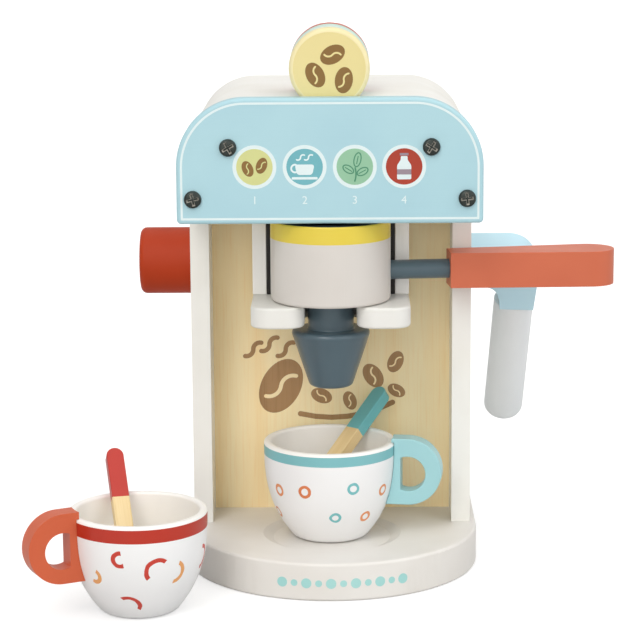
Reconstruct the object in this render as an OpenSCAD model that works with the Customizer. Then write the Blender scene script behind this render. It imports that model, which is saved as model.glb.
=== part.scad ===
// Wooden toy coffee maker with its play set: two cups with stirring sticks and four drink tokens.
// Millimetres. X is to the right, Y to the back, Z up. The origin is on the ground under the middle
// of the machine, level with the front edges of the two side panels.

/* [Base plate] */
// Overhang of the base plate beyond the side panels
base_over = 3; // [1:0.5:10]
// Thickness of the base plate
base_t = 18; // [10:1:30]
// Rounding along the top and bottom edges of the base plate
base_edge_r = 1.5; // [0.5:0.1:4]
// Radius of the flat floor of the cup recess
recess_r = 28; // [22:0.5:34]
// Depth of the cup recess
recess_depth = 2; // [1:0.5:5]
// Width of the sloping lip around the recess
recess_lip = 5; // [1:0.5:8]

/* [Casing] */
// Width over the two side panels
body_w = 134; // [124:1:136]
// Thickness of a side panel
side_t = 9; // [7:0.5:12]
// Depth of the casing behind the front edges of the side panels
body_depth = 84; // [76:1:110]
// Thickness of the rear panel
rear_t = 5; // [3:0.5:8]
// Distance of the splash back behind the front edges of the side panels
splash_y = 26.5; // [22:0.5:30]
// Thickness of the splash back
splash_t = 6; // [4:0.5:7]

/* [Head] */
// Height of the underside of the head above the ground
head_z = 171.5; // [165:0.5:200]
// Overhang of the fascia beyond the side panels
fascia_over = 3; // [0:0.5:8]
// Height of the fascia
fascia_h = 57.5; // [50:0.5:75]
// Thickness of the fascia
fascia_t = 9; // [6:0.5:12]
// Reach of the fascia's front in front of the side panels
head_reach = 44; // [40:0.5:60]
// Radius of the two upper corners of the fascia
fascia_r = 31.5; // [20:0.5:36]
// Radius of the two lower corners of the fascia
fascia_foot_r = 2; // [0.5:0.5:6]
// Thickness of the head floor
floor_t = 6; // [4:0.5:8]
// Thickness of the bent top cover
cover_t = 5; // [3:0.5:7]
// Outer radius of the top cover's bends
cover_r = 29; // [22:0.5:32]
// Drop of the top cover below the top of the fascia
cover_drop = 0.8; // [0.2:0.1:3]
// Radius of the two spacer dowels in the head
spacer_r = 7; // [5:0.5:8]
// Distance of a spacer dowel's axis from the inside of the cover's bend
spacer_inset = 13; // [11:0.5:15]

/* [Screws] */
// Radius of a screw's shank
shank_r = 1.6; // [1.2:0.1:2]
// Radius of a screw's head
screw_head_r = 4; // [3:0.1:4.3]
// Height of a screw's head
screw_head_h = 2.2; // [1.5:0.1:3]
// Depth of the screws in the wood behind the board that they hold
screw_bite = 14; // [10:1:18]
// Height of the lower fascia screws above the underside of the head
low_screw_z = 11.5; // [9:0.5:16]
// Distance of the first and last screw from the ends of a panel
screw_margin = 16; // [12:1:22]
// Distance of the heads of the base screws from the ground
countersink = 0.8; // [0.5:0.1:2]

/* [Filter holder] */
// Distance of the filter's axis in front of the side panels
brew_y = 17; // [16:0.5:20]
// Width of the saddle's front edge on each side of the filter cup
saddle_edge = 2.3; // [1.5:0.1:5]
// Thickness of a hanger
hanger_t = 6.7; // [5:0.1:7.5]
// Distance of a hanger's front edge in front of the side panels
hanger_reach = 5; // [1:0.5:8]
// Length of the tenon on top of a hanger
tenon_l = 18; // [10:1:24]
// Thickness of the fork
fork_t = 10; // [8:0.5:14]
// Reach of the fork's front in front of the side panels
fork_reach = 41; // [39:0.5:44]
// Gap between the spout's neck and the sides of the fork's slot
slot_gap = 1.3; // [0.5:0.1:4]
// Radius of the corners at the tips of the fork's prongs
prong_r = 9; // [4:0.5:11]

/* [Filter] */
// Radius of the filter cup
filter_r = 28.2; // [25:0.1:29.5]
// Height of the filter cup
filter_h = 38; // [30:0.5:44]
// Rounding of the filter cup's lower edge
filter_edge_r = 1.5; // [0.5:0.1:3]
// Gap between the filter cup and the head above it
filter_gap = 1.5; // [1:0.1:4]
// Radius of the well in the top of the filter cup
well_r = 20; // [18.5:0.5:22]
// Depth of the well in the top of the filter cup
well_depth = 8; // [5:0.5:10]
// Radius of the spout's neck
neck_r = 10.9; // [8:0.1:11]
// Radius of the spout's shoulder
spout_r = 18.8; // [15:0.1:24]
// Radius of the spout's tip
spout_tip_r = 10; // [6:0.1:12]
// Length of the spout's cone
spout_l = 27.5; // [20:0.5:34]
// Rounding of the spout's tip
spout_tip_edge_r = 1.5; // [0.5:0.1:3]
// Distance from the fork's underside down to the spout's shoulder
shoulder_drop = 4; // [2:0.5:8]
// Rounding of the spout's shoulder
shoulder_r = 2.5; // [1:0.5:4]
// Radius of the pin that joins the spout to the filter cup
pin_r = 5; // [3:0.5:6]
// Length of the pin that joins the spout to the filter cup
pin_l = 8; // [5:0.5:8]

/* [Filter handle] */
// Angle of the handle behind the crosswise direction
handle_turn = 6; // [2:0.5:6.5]
// Radius of the handle's rod
rod_r = 4.55; // [3:0.05:5]
// Height of the rod's axis above the fork's top
rod_rise = 13.4; // [12.5:0.1:20]
// Distance of the grip's inner end from the filter's axis
grip_start = 56; // [54:0.5:62]
// Distance of the grip's outer end from the filter's axis
grip_end = 135; // [120:1:150]
// Height of the grip
grip_h = 16.7; // [13:0.1:20]
// Depth of the grip at its inner end
grip_in = 14.5; // [12:0.5:15.5]
// Depth of the grip at its round outer end
grip_out = 24; // [18:0.5:26]
// Length of the rod's seat in the filter cup and in the grip
rod_seat = 12; // [8:0.5:14]

/* [Knob] */
// Distance of the knob's and the wand's axes behind the front edges of the side panels
axle_y = 46; // [44:0.5:58]
// Height of the knob's axis above the ground
knob_z = 140; // [120:1:150]
// Radius of the knob
knob_r = 16.4; // [12:0.1:20]
// Length of the knob
knob_l = 27; // [18:0.5:36]
// Rounding of the knob's outer edge
knob_edge_r = 3; // [1:0.5:6]
// Radius of the knob's axle
knob_axle_r = 4; // [3:0.5:6]
// Length of an axle's seat in the knob and in the wand's elbow
axle_seat = 12; // [8:0.5:15]
// Radius of the collars on the inner ends of the axles
collar_r = 8; // [7:0.5:11]
// Thickness of the collars on the inner ends of the axles
collar_t = 6; // [4:0.5:10]

/* [Steam wand] */
// Height of the wand's axis above the ground
wand_z = 139.2; // [120:0.2:150]
// Angle that the wand hangs back from the upright
wand_lean = 27; // [0:1:40]
// Distance of the elbow's outer face from the side panel
elbow_w = 35; // [30:0.5:45]
// Height and depth of the elbow's upper arm
elbow_h = 19.5; // [17:0.5:22]
// Radius of the elbow's outer corner
elbow_r = 14; // [8:0.5:16]
// Width of the elbow's leg where it leaves the upper arm
leg_w = 19; // [17:0.5:22]
// Narrowing of the leg on each side towards its end
leg_taper = 1.2; // [0:0.1:2]
// Radius of the hollow between the upper arm and the leg
leg_fillet = 7; // [2:0.5:9]
// Length of the leg below the wand's axis
leg_l = 23.8; // [21:0.2:30]
// Radius of the wand's rod
wand_r = 9.9; // [8:0.1:11]
// Length of the wand's rod below the leg
wand_l = 74.5; // [60:0.5:90]
// Rounding of the rod's lower end
wand_tip_r = 6; // [3:0.5:7.5]
// Angle of the rod towards the machine
wand_splay = 2.2; // [0:0.2:4]
// Offset of the rod from the middle of the leg towards the machine
wand_shift = 0.8; // [0:0.1:1.5]
// Radius of the wand's axle
wand_axle_r = 5; // [4:0.5:6]

/* [Cups] */
// Outer radius of a cup's rim
cup_r = 31.5; // [28:0.5:33]
// Height of a cup
cup_h = 47; // [42:0.5:56]
// Radius of a cup's foot
foot_r = 17; // [13:0.5:20]
// Fullness of a cup's bowl, higher for straighter sides
bowl_power = 2.9; // [1.6:0.1:3.6]
// Thickness of a cup's wall
cup_wall = 3.6; // [2.5:0.1:5]
// Thickness of a cup's bottom
cup_floor = 5; // [3:0.5:8]
// Thickness of a cup's handle
ear_t = 9.4; // [7:0.2:12]
// Reach of a cup's handle beyond the rim
ear_reach = 22.4; // [22:0.1:30]
// Height of a cup's handle
ear_h = 32.2; // [28:0.2:36]
// Length of the handle's lip that lies on the rim
ear_lip = 1.2; // [1:0.1:3]
// Radius of the finger hole
ear_hole_r = 8.4; // [7:0.1:10]
// Distance of the finger hole's centre from the outer end of the handle
ear_hole_in = 16; // [14:0.5:17]
// Distance of the finger hole's centre below the middle of the handle
ear_hole_low = 1; // [0:0.1:2]
// Distance of the finger hole's flat side from the rim
ear_flat = 3; // [2:0.1:6]
// Height of the handle's top above the rim of the cup on the machine
ear_a_rise = 2.1; // [1:0.1:4]
// Height of the handle's top above the rim of the cup beside the machine
ear_b_rise = 3.4; // [1:0.1:4]
// Sideways place of the cup on the machine
cup_a_x = -0.8; // [-6:0.1:6]
// Place of the cup on the machine behind the middle of the recess
cup_a_y = 3.5; // [-5:0.5:5]
// Angle of the handle of the cup on the machine
cup_a_turn = -8; // [-30:1:30]
// Sideways place of the cup beside the machine
cup_b_x = -87.5; // [-140:0.5:-86]
// Place of the cup beside the machine in front of the side panels
cup_b_y = 78; // [70:1:110]
// Angle of the handle of the cup beside the machine
cup_b_turn = 207; // [170:1:230]

/* [Stirring sticks] */
// Width of a stirring stick
stick_w = 8; // [5:0.5:10]
// Thickness of a stirring stick
stick_t = 6; // [3:0.5:7]
// Length of a stirring stick
stick_l = 72.5; // [66:0.5:90]
// Direction from the middle of the cup on the machine to the place where its stick lies on the rim
stick_a_rim = 53.6; // [0:0.2:360]
// Direction in which the stick on the machine leans
stick_a_heading = 48.4; // [0:0.2:360]
// Angle of the stick on the machine from the upright
stick_a_lean = 52.6; // [40:0.2:56]
// Length of the stick on the machine below the rim
stick_a_dip = 51; // [30:0.5:52]
// Direction from the middle of the cup beside the machine to the place where its stick lies on the rim
stick_b_rim = 114; // [0:0.2:360]
// Direction in which the stick beside the machine leans
stick_b_heading = 104.4; // [0:0.2:360]
// Angle of the stick beside the machine from the upright
stick_b_lean = 42.1; // [36:0.1:50]
// Length of the stick beside the machine below the rim
stick_b_dip = 52; // [30:0.5:54]

/* [Drink tokens] */
// Radius of a drink token
token_r = 18.5; // [15:0.5:19]
// Thickness of a drink token
token_t = 10; // [7:0.5:12]
// Rounding of a drink token's edges
token_edge_r = 1.2; // [0.5:0.1:2]
// Depth that a token sits below the top of the cover
token_sink = 5.4; // [3:0.1:6]

/* [Clearances] */
// Gap around an axle or pin that turns in its bore
run_gap = 0.05; // [0.02:0.01:0.1]
// Gap between pieces that move past each other
part_gap = 0.3; // [0.2:0.05:0.5]
// Gap around a glued pin, tenon or screw
glue_gap = 0.05; // [0.02:0.01:0.1]

/* [Hidden] */

$fn = 96;
// Overrun of a cut past the face that it leaves
over = 1;

paint_white = "#e8e7e3";
paint_blue = "#b1d6df";
paint_slate = "#55686f";
paint_red = "#c0522b";
paint_black = "#1c1a18";
bare_wood = "#d5bd8c";
steel = "#3a3f3e";

half_w = body_w / 2;
base_r = half_w + base_over;
fascia_w = body_w + 2 * fascia_over;
inner_x = half_w - side_t;
side_mid = half_w - side_t / 2;
rear_y = body_depth - rear_t;
head_front = fascia_t - head_reach;
head_depth = rear_y - head_front;
fascia_top = head_z + fascia_h;
cover_top = fascia_top - cover_drop;
bend_x = half_w - cover_r;
bend_z = cover_top - cover_r;
spacer_off = (cover_r - cover_t - spacer_inset) * sin(45);
spacer_x = bend_x + spacer_off;
spacer_z = bend_z + spacer_off;
low_z = head_z + low_screw_z;
hanger_x = filter_r + saddle_edge;
holder_w = hanger_x + hanger_t;
hanger_mid = (splash_y - hanger_reach) / 2;
hanger_d = splash_y + hanger_reach;
slot_r = neck_r + slot_gap;
filter_top = head_z - filter_gap;
filter_z = filter_top - filter_h;
fork_top = filter_z - part_gap;
fork_z = fork_top - fork_t;
rod_z = fork_top + rod_rise;
shoulder_z = fork_z - shoulder_drop;
spout_z = shoulder_z - spout_l;
arm_w = elbow_w - part_gap;
leg_mid = arm_w - leg_w / 2;
token_z = cover_top - token_sink + token_r;
token_chord = sqrt(pow(token_r, 2) - pow(token_r - token_sink, 2));
token_pitch = token_t + part_gap;
token_count = 4;
bowl_steps = 18;

// ---- shared shapes ----

// Flat rectangle from one corner to the other with round corners
module round_rect(x0, y0, x1, y1, r) {
    translate([x0 + r, y0]) square([x1 - x0 - 2 * r, y1 - y0]);
    translate([x0, y0 + r]) square([x1 - x0, y1 - y0 - 2 * r]);
    for (x = [x0 + r, x1 - r], y = [y0 + r, y1 - r]) translate([x, y]) circle(r);
}

// Quarter of a disc, right of and above its centre
module quarter(r) {
    intersection() {
        circle(r);
        square(r);
    }
}

// Arch: flat sides and foot, two round upper corners
module arch(w, h, r) {
    translate([r - w / 2, 0]) square([w - 2 * r, h]);
    for (s = [0, 1]) mirror([s, 0]) {
        translate([w / 2 - r, h - r]) quarter(r);
        if (h > r) translate([w / 2 - r, 0]) square([r, h - r]);
    }
}

// Upright shape on the XZ plane, carried from y0 backwards over a depth d
module standing(y0, d) {
    translate([0, y0 + d, 0]) rotate([90, 0, 0]) linear_extrude(d) children();
}

// Half outline of a turned piece with its upper and lower outer edges rounded
module turned(r, h, r_low, r_high) {
    translate([0, r_low]) square([r, h - r_low - r_high]);
    square([r - r_low, h]);
    translate([0, h / 2]) square([r - r_high, h / 2]);
    translate([r - r_low, r_low]) mirror([0, 1]) quarter(r_low);
    translate([r - r_high, h - r_high]) quarter(r_high);
}

// Pan-head screw on the Z axis, its head above the ground plane and its shank below it
module screw(l) {
    rotate_extrude() turned(screw_head_r, screw_head_h, screw_head_h / 8, screw_head_h / 2);
    translate([0, 0, -l]) cylinder(r = shank_r, h = l);
}

// Bore for a screw's shank, down from the ground plane
module screw_bore(l) {
    translate([0, 0, -l - over]) cylinder(r = shank_r + glue_gap, h = l + 2 * over);
}

// Turns the children, drawn for the Z axis, to the given end of the casing
module facing_front() { rotate([90, 0, 0]) children(); }
module facing_back() { rotate([-90, 0, 0]) children(); }

// Places of the four screws in the head, upper ones in the spacers and lower ones in the panels
module at_head_screws(y) {
    for (s = [-1, 1]) {
        translate([s * spacer_x, y, spacer_z]) children();
        translate([s * side_mid, y, low_z]) children();
    }
}

// Places of the screws down the rear edge of the side panels
module at_rear_screws(y) {
    first = base_t + screw_margin;
    for (s = [-1, 1], z = [first, (first + low_z) / 2]) translate([s * side_mid, y, z]) children();
}

// Places of the screws under the side panels and the splash back
module at_base_screws(z) {
    for (s = [-1, 1], y = [screw_margin, rear_y - screw_margin]) {
        translate([s * side_mid, y, z]) children();
    }
    for (s = [-1, 1]) translate([s * inner_x / 2, splash_y + splash_t / 2, z]) children();
}

// ---- casing ----

module base() {
    head_pocket = countersink + screw_head_h;
    color(paint_white) difference() {
        union() {
            rotate_extrude() turned(base_r, base_t, base_edge_r, base_edge_r);
            standing(0, body_depth) round_rect(-base_r, 0, base_r, base_t, base_edge_r);
        }
        translate([0, -brew_y, base_t - recess_depth]) {
            cylinder(r1 = recess_r, r2 = recess_r + recess_lip, h = recess_depth);
            translate([0, 0, recess_depth]) cylinder(r = recess_r + recess_lip, h = over);
        }
        at_base_screws(head_pocket) mirror([0, 0, 1]) {
            screw_bore(base_t);
            cylinder(r = screw_head_r + glue_gap, h = head_pocket + over);
        }
    }
}

// Outline of a side panel seen from the side: a post with the head's cheek on top
module side_outline() {
    translate([0, base_t]) square([rear_y, bend_z - base_t]);
    translate([head_front, head_z]) square([head_depth, bend_z - head_z]);
}

module side_panel(s) {
    bore_z = s < 0 ? knob_z : wand_z;
    bore_r = s < 0 ? knob_axle_r : wand_axle_r;
    color(paint_white) difference() {
        translate([side_mid - side_t / 2 - (s < 0 ? 2 * side_mid : 0), 0, 0])
            rotate([90, 0, 90]) linear_extrude(side_t) side_outline();
        translate([s * side_mid, axle_y, bore_z]) rotate([0, 90, 0])
            cylinder(r = bore_r + run_gap, h = side_t + 2 * over, center = true);
        at_head_screws(head_front) facing_front() screw_bore(screw_bite);
        at_head_screws(rear_y) facing_back() screw_bore(screw_bite);
        at_rear_screws(rear_y) facing_back() screw_bore(screw_bite);
        at_base_screws(base_t) mirror([0, 0, 1]) screw_bore(screw_bite);
    }
}
module left_side_panel() { side_panel(-1); }
module right_side_panel() { side_panel(1); }

module splash_back() {
    color(bare_wood) difference() {
        translate([-inner_x, splash_y, base_t]) cube([2 * inner_x, splash_t, head_z - base_t]);
        at_base_screws(base_t) mirror([0, 0, 1]) screw_bore(screw_bite);
    }
}

module rear_panel() {
    color(paint_white) difference() {
        translate([0, 0, base_t]) standing(rear_y, rear_t) arch(body_w, cover_top - base_t, cover_r);
        at_head_screws(body_depth) facing_back() screw_bore(rear_t);
        at_rear_screws(body_depth) facing_back() screw_bore(rear_t);
    }
}

module head_floor() {
    tenon_gap = 2 * glue_gap;
    color(paint_white) difference() {
        translate([-inner_x, head_front, head_z]) cube([2 * inner_x, head_depth, floor_t]);
        for (s = [-1, 1]) translate([s * (holder_w - hanger_t / 2), hanger_mid, head_z + floor_t / 2])
            cube([hanger_t + tenon_gap, tenon_l + tenon_gap, floor_t + over], center = true);
    }
}

module fascia() {
    color(paint_blue) difference() {
        translate([0, 0, head_z]) standing(-head_reach, fascia_t) union() {
            translate([0, fascia_foot_r]) arch(fascia_w, fascia_h - fascia_foot_r, fascia_r);
            round_rect(-fascia_w / 2, 0, fascia_w / 2, fascia_h - fascia_r, fascia_foot_r);
        }
        at_head_screws(-head_reach) facing_front() screw_bore(fascia_t);
    }
}

module top_cover() {
    slot_w = 2 * (token_chord + part_gap);
    slot_d = token_count * token_pitch + part_gap;
    color(paint_white) difference() {
        translate([0, 0, bend_z]) standing(head_front, head_depth) arch(body_w, cover_r, cover_r);
        translate([0, 0, bend_z]) standing(head_front - over, head_depth + 2 * over) union() {
            arch(body_w - 2 * cover_t, cover_r - cover_t, cover_r - cover_t);
            translate([cover_t - half_w, -over]) square([body_w - 2 * cover_t, over]);
        }
        translate([-slot_w / 2, head_front - over, cover_top - cover_t - over])
            cube([slot_w, slot_d + over, cover_t + 2 * over]);
    }
}

module spacer(s) {
    color(bare_wood) difference() {
        translate([s * spacer_x, rear_y, spacer_z]) rotate([90, 0, 0]) cylinder(r = spacer_r, h = head_depth);
        at_head_screws(head_front) facing_front() screw_bore(screw_bite);
        at_head_screws(rear_y) facing_back() screw_bore(screw_bite);
    }
}
module left_spacer() { spacer(-1); }
module right_spacer() { spacer(1); }

module fascia_screws() {
    color(steel) at_head_screws(-head_reach) facing_front() screw(fascia_t + screw_bite);
}

module rear_screws() {
    color(steel) {
        at_head_screws(body_depth) facing_back() screw(rear_t + screw_bite);
        at_rear_screws(body_depth) facing_back() screw(rear_t + screw_bite);
    }
}

module base_screws() {
    head_seat = countersink + screw_head_h;
    color(steel) at_base_screws(head_seat) mirror([0, 0, 1]) screw(base_t - head_seat + screw_bite);
}

// ---- filter holder ----

module hanger(s) {
    color(paint_white) {
        translate([s * (holder_w - hanger_t / 2) - hanger_t / 2, -hanger_reach, fork_top])
            cube([hanger_t, hanger_d, head_z - fork_top]);
        translate([s * (holder_w - hanger_t / 2) - hanger_t / 2, hanger_mid - tenon_l / 2, head_z])
            cube([hanger_t, tenon_l, floor_t]);
    }
}
module left_hanger() { hanger(-1); }
module right_hanger() { hanger(1); }

module holder_fork() {
    color(paint_white) translate([0, 0, fork_z]) linear_extrude(fork_t) difference() {
        union() {
            for (s = [0, 1]) mirror([s, 0, 0])
                round_rect(slot_r, -fork_reach, holder_w, splash_y - prong_r, prong_r);
            translate([-holder_w, -brew_y]) square([2 * holder_w, brew_y + splash_y]);
        }
        translate([0, -brew_y]) circle(slot_r);
    }
}

// Black block between the hangers, hollowed to the round of the filter cup
module holder_saddle() {
    color(paint_black) difference() {
        translate([-hanger_x, -hanger_reach, fork_top])
            cube([2 * hanger_x, hanger_d, head_z - fork_top]);
        translate([0, -brew_y, fork_top - over])
            cylinder(r = filter_r + 2 * part_gap, h = head_z - fork_top + 2 * over);
    }
}

// ---- filter with its handle ----

module on_filter_axis() { translate([0, -brew_y, 0]) children(); }
module along_handle() { on_filter_axis() rotate([0, 0, handle_turn]) children(); }

module filter_cup() {
    color(paint_white) difference() {
        on_filter_axis() translate([0, 0, filter_z]) rotate_extrude() difference() {
            turned(filter_r, filter_h, filter_edge_r, filter_edge_r / 2);
            translate([0, filter_h - well_depth]) square([well_r, well_depth + over]);
        }
        on_filter_axis() translate([0, 0, filter_z - over])
            cylinder(r = pin_r + run_gap, h = pin_l + part_gap + over);
        along_handle() translate([filter_r - rod_seat, 0, rod_z]) rotate([0, 90, 0])
            cylinder(r = rod_r + glue_gap, h = rod_seat + over);
    }
}

module spout() {
    color(paint_slate) on_filter_axis() {
        rotate_extrude() union() {
            polygon([
                [0, spout_z], [spout_tip_r - spout_tip_edge_r, spout_z],
                [spout_tip_r, spout_z + spout_tip_edge_r],
                [spout_r, shoulder_z - shoulder_r], [0, shoulder_z - shoulder_r]
            ]);
            translate([0, shoulder_z - shoulder_r]) square([spout_r - shoulder_r, shoulder_r]);
            translate([spout_r - shoulder_r, shoulder_z - shoulder_r]) circle(shoulder_r);
        }
        translate([0, 0, shoulder_z - shoulder_r])
            cylinder(r = neck_r, h = fork_top - shoulder_z + shoulder_r);
        translate([0, 0, fork_top]) cylinder(r = pin_r, h = part_gap + pin_l);
    }
}

module handle_rod() {
    start = filter_r - rod_seat + glue_gap;
    color(paint_slate) along_handle() translate([start, 0, rod_z]) rotate([0, 90, 0])
        cylinder(r = rod_r, h = grip_start + rod_seat - start);
}

// Paddle: straight sides that run tangent into the round outer end
module grip_outline() {
    end_r = grip_out / 2;
    end_x = grip_end - end_r;
    slope = asin((end_r - grip_in / 2) / (end_x - grip_start));
    polygon([
        [grip_start, -grip_in / 2], [end_x - end_r * sin(slope), -end_r * cos(slope)],
        [end_x, 0],
        [end_x - end_r * sin(slope), end_r * cos(slope)], [grip_start, grip_in / 2]
    ]);
    translate([end_x, 0]) circle(end_r);
}

module handle_grip() {
    color(paint_red) along_handle() translate([0, 0, rod_z]) difference() {
        translate([0, 0, -grip_h / 2]) linear_extrude(grip_h) grip_outline();
        translate([grip_start - over, 0, 0]) rotate([0, 90, 0])
            cylinder(r = rod_r + glue_gap, h = rod_seat + over + glue_gap);
    }
}

// ---- knob ----

// Turns the children, drawn up the Z axis, to point to the left along the knob's axis
module along_knob(x) { translate([x, axle_y, knob_z]) rotate([0, -90, 0]) children(); }

module knob() {
    color(paint_red) along_knob(-half_w - part_gap) difference() {
        rotate_extrude() turned(knob_r, knob_l, knob_edge_r / 4, knob_edge_r);
        translate([0, 0, -over]) cylinder(r = knob_axle_r + glue_gap, h = axle_seat + over);
    }
}

module knob_axle() {
    inner = side_t + part_gap + collar_t;
    color(bare_wood) along_knob(-inner_x + part_gap + collar_t)
        cylinder(r = knob_axle_r, h = inner + part_gap + axle_seat - glue_gap);
}

module knob_collar() {
    color(bare_wood) along_knob(-inner_x + part_gap + collar_t) difference() {
        cylinder(r = collar_r, h = collar_t);
        translate([0, 0, -over]) cylinder(r = knob_axle_r + glue_gap, h = collar_t + 2 * over);
    }
}

// ---- steam wand ----

// Wand's frame: X along its axle away from the machine, hanging leg down, turned back by its lean
module along_wand() {
    translate([half_w + part_gap, axle_y, wand_z]) rotate([wand_lean, 0, 0]) children();
}
// Frame of the wand's rod, whose top end lies on the ground plane of this frame
module along_wand_rod() {
    along_wand() translate([leg_mid - wand_shift, 0, -leg_l]) rotate([0, wand_splay, 0]) children();
}

module elbow_outline() {
    half_h = elbow_h / 2;
    leg_in = arm_w - leg_w;
    translate([0, -half_h]) square([arm_w - elbow_r, elbow_h]);
    translate([0, -half_h]) square([arm_w, elbow_h - elbow_r]);
    translate([arm_w - elbow_r, half_h - elbow_r]) quarter(elbow_r);
    polygon([
        [leg_in, over - half_h], [leg_in, -half_h], [leg_in + leg_taper, -leg_l - over],
        [arm_w - leg_taper, -leg_l - over], [arm_w, -half_h], [arm_w, over - half_h]
    ]);
    translate([leg_in - leg_fillet, -half_h - leg_fillet]) difference() {
        square([leg_fillet + leg_taper, leg_fillet + over]);
        circle(leg_fillet);
    }
}

module wand_elbow() {
    color(paint_blue) difference() {
        along_wand() standing(-elbow_h / 2, elbow_h) elbow_outline();
        along_wand() translate([-over, 0, 0]) rotate([0, 90, 0])
            cylinder(r = wand_axle_r + glue_gap, h = axle_seat + over);
        along_wand_rod() {
            translate([-elbow_w / 2, -elbow_h, -elbow_w]) cube([elbow_w, 2 * elbow_h, elbow_w]);
            cylinder(r = pin_r + glue_gap, h = pin_l + glue_gap);
        }
    }
}

module wand_rod() {
    color(paint_white) along_wand_rod() {
        translate([0, 0, -wand_l]) rotate_extrude() turned(wand_r, wand_l - glue_gap, wand_tip_r, over / 2);
        translate([0, 0, -over]) cylinder(r = pin_r, h = pin_l + over);
    }
}

module wand_axle() {
    inner = collar_t + part_gap + side_t;
    color(bare_wood) along_wand() translate([-inner - part_gap, 0, 0]) rotate([0, 90, 0])
        cylinder(r = wand_axle_r, h = inner + part_gap + axle_seat - glue_gap);
}

module wand_collar() {
    color(bare_wood) along_wand() translate([-collar_t - 2 * part_gap - side_t, 0, 0]) rotate([0, 90, 0])
        difference() {
            cylinder(r = collar_r, h = collar_t);
            translate([0, 0, -over]) cylinder(r = wand_axle_r + glue_gap, h = collar_t + 2 * over);
        }
}

// ---- cups ----

// Outer radius of a cup at height z, and the outline that it gives
function bowl_r(z) = foot_r + (cup_r - foot_r) * (1 - pow(1 - z / cup_h, bowl_power));
function bowl_line(grow) = [for (i = [0:bowl_steps]) let(z = cup_h * i / bowl_steps) [bowl_r(z) + grow, z]];

module bowl(grow) {
    rotate_extrude() polygon(concat([[0, 0]], bowl_line(grow), [[0, cup_h]]));
}

module cup() {
    inner = [for (p = bowl_line(-cup_wall)) if (p[1] > cup_floor) p];
    rotate_extrude() polygon(concat(
        [[0, 0]], bowl_line(0),
        [for (i = [len(inner) - 1:-1:0]) inner[i]],
        [[bowl_r(cup_floor) - cup_wall, cup_floor], [0, cup_floor]]
    ));
}

// D-shaped handle on the right of a cup, cut to the curve of its wall, with a lip over the rim
module ear(rise) {
    end_r = ear_h / 2;
    end_x = cup_r + ear_reach - end_r;
    mid_z = cup_h + rise - end_r;
    hole_x = cup_r + ear_reach - ear_hole_in;
    difference() {
        standing(-ear_t / 2, ear_t) translate([0, mid_z]) difference() {
            union() {
                translate([0, -end_r]) square([end_x, ear_h]);
                translate([end_x, 0]) circle(end_r);
            }
            translate([hole_x, -ear_hole_low]) intersection() {
                circle(ear_hole_r);
                translate([cup_r + ear_flat - hole_x, -ear_hole_r]) square(2 * ear_hole_r);
            }
        }
        bowl(glue_gap);
        translate([0, 0, cup_h - over]) cylinder(r = cup_r + glue_gap, h = over + glue_gap);
        translate([0, 0, cup_h]) cylinder(r = cup_r - ear_lip, h = rise + over);
    }
}

module at_cup_a() {
    translate([cup_a_x, cup_a_y - brew_y, base_t - recess_depth]) children();
}
module at_cup_b() {
    translate([cup_b_x, -cup_b_y, 0]) children();
}

module cup_a() { color(paint_white) at_cup_a() cup(); }
module cup_a_handle() { color(paint_blue) at_cup_a() rotate([0, 0, cup_a_turn]) ear(ear_a_rise); }
module cup_b() { color(paint_white) at_cup_b() cup(); }
module cup_b_handle() { color(paint_red) at_cup_b() rotate([0, 0, cup_b_turn]) ear(ear_b_rise); }

// ---- stirring sticks ----

// Flat stick up the Z axis with a round upper end, its broad faces across the X axis
module stick() {
    translate([stick_t / 2, 0, 0]) rotate([0, -90, 0]) linear_extrude(stick_t) {
        translate([0, -stick_w / 2]) square([stick_l - stick_w / 2, stick_w]);
        translate([stick_l - stick_w / 2, 0]) circle(stick_w / 2);
    }
}

// Lays a stick on the inner edge of a cup's rim, with its foot inside the cup.
// The stick meets the round rim with one long edge, which reaches further out than its middle.
module stick_in_cup(rim, heading, lean, dip) {
    inner_r = cup_r - cup_wall;
    middle_turn = acos(cos(rim - heading));
    edge_turn = asin(sin(middle_turn) + stick_w / 2 / inner_r);
    edge_reach = inner_r * (cos(middle_turn) - cos(edge_turn)) * cos(lean);
    translate([inner_r * cos(rim), inner_r * sin(rim), cup_h]) rotate([0, 0, heading]) rotate([0, lean, 0])
        translate([-stick_t / 2 - part_gap - edge_reach, 0, -dip]) stick();
}

module stick_a() {
    color(bare_wood) at_cup_a() stick_in_cup(stick_a_rim, stick_a_heading, stick_a_lean, stick_a_dip);
}
module stick_b() {
    color(bare_wood) at_cup_b() stick_in_cup(stick_b_rim, stick_b_heading, stick_b_lean, stick_b_dip);
}

// ---- drink tokens ----

module token(i) {
    y = head_front + part_gap + i * token_pitch;
    translate([0, y + token_t, token_z]) rotate([90, 0, 0])
        rotate_extrude() turned(token_r, token_t, token_edge_r, token_edge_r);
}
module token_beans() { color("#ecdf9f") token(0); }
module token_cup() { color("#6fb3bd") token(1); }
module token_leaves() { color("#9cc7a4") token(2); }
module token_milk() { color("#b0432f") token(3); }

base();
left_side_panel();
right_side_panel();
splash_back();
rear_panel();
head_floor();
fascia();
top_cover();
left_spacer();
right_spacer();
left_hanger();
right_hanger();
holder_fork();
holder_saddle();
fascia_screws();
rear_screws();
base_screws();
filter_cup();
spout();
handle_rod();
handle_grip();
knob();
knob_axle();
knob_collar();
wand_elbow();
wand_rod();
wand_axle();
wand_collar();
cup_a();
cup_a_handle();
stick_a();
cup_b();
cup_b_handle();
stick_b();
token_beans();
token_cup();
token_leaves();
token_milk();
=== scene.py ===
import math
import random

import bmesh
import bpy
from mathutils import Matrix, Vector


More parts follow.
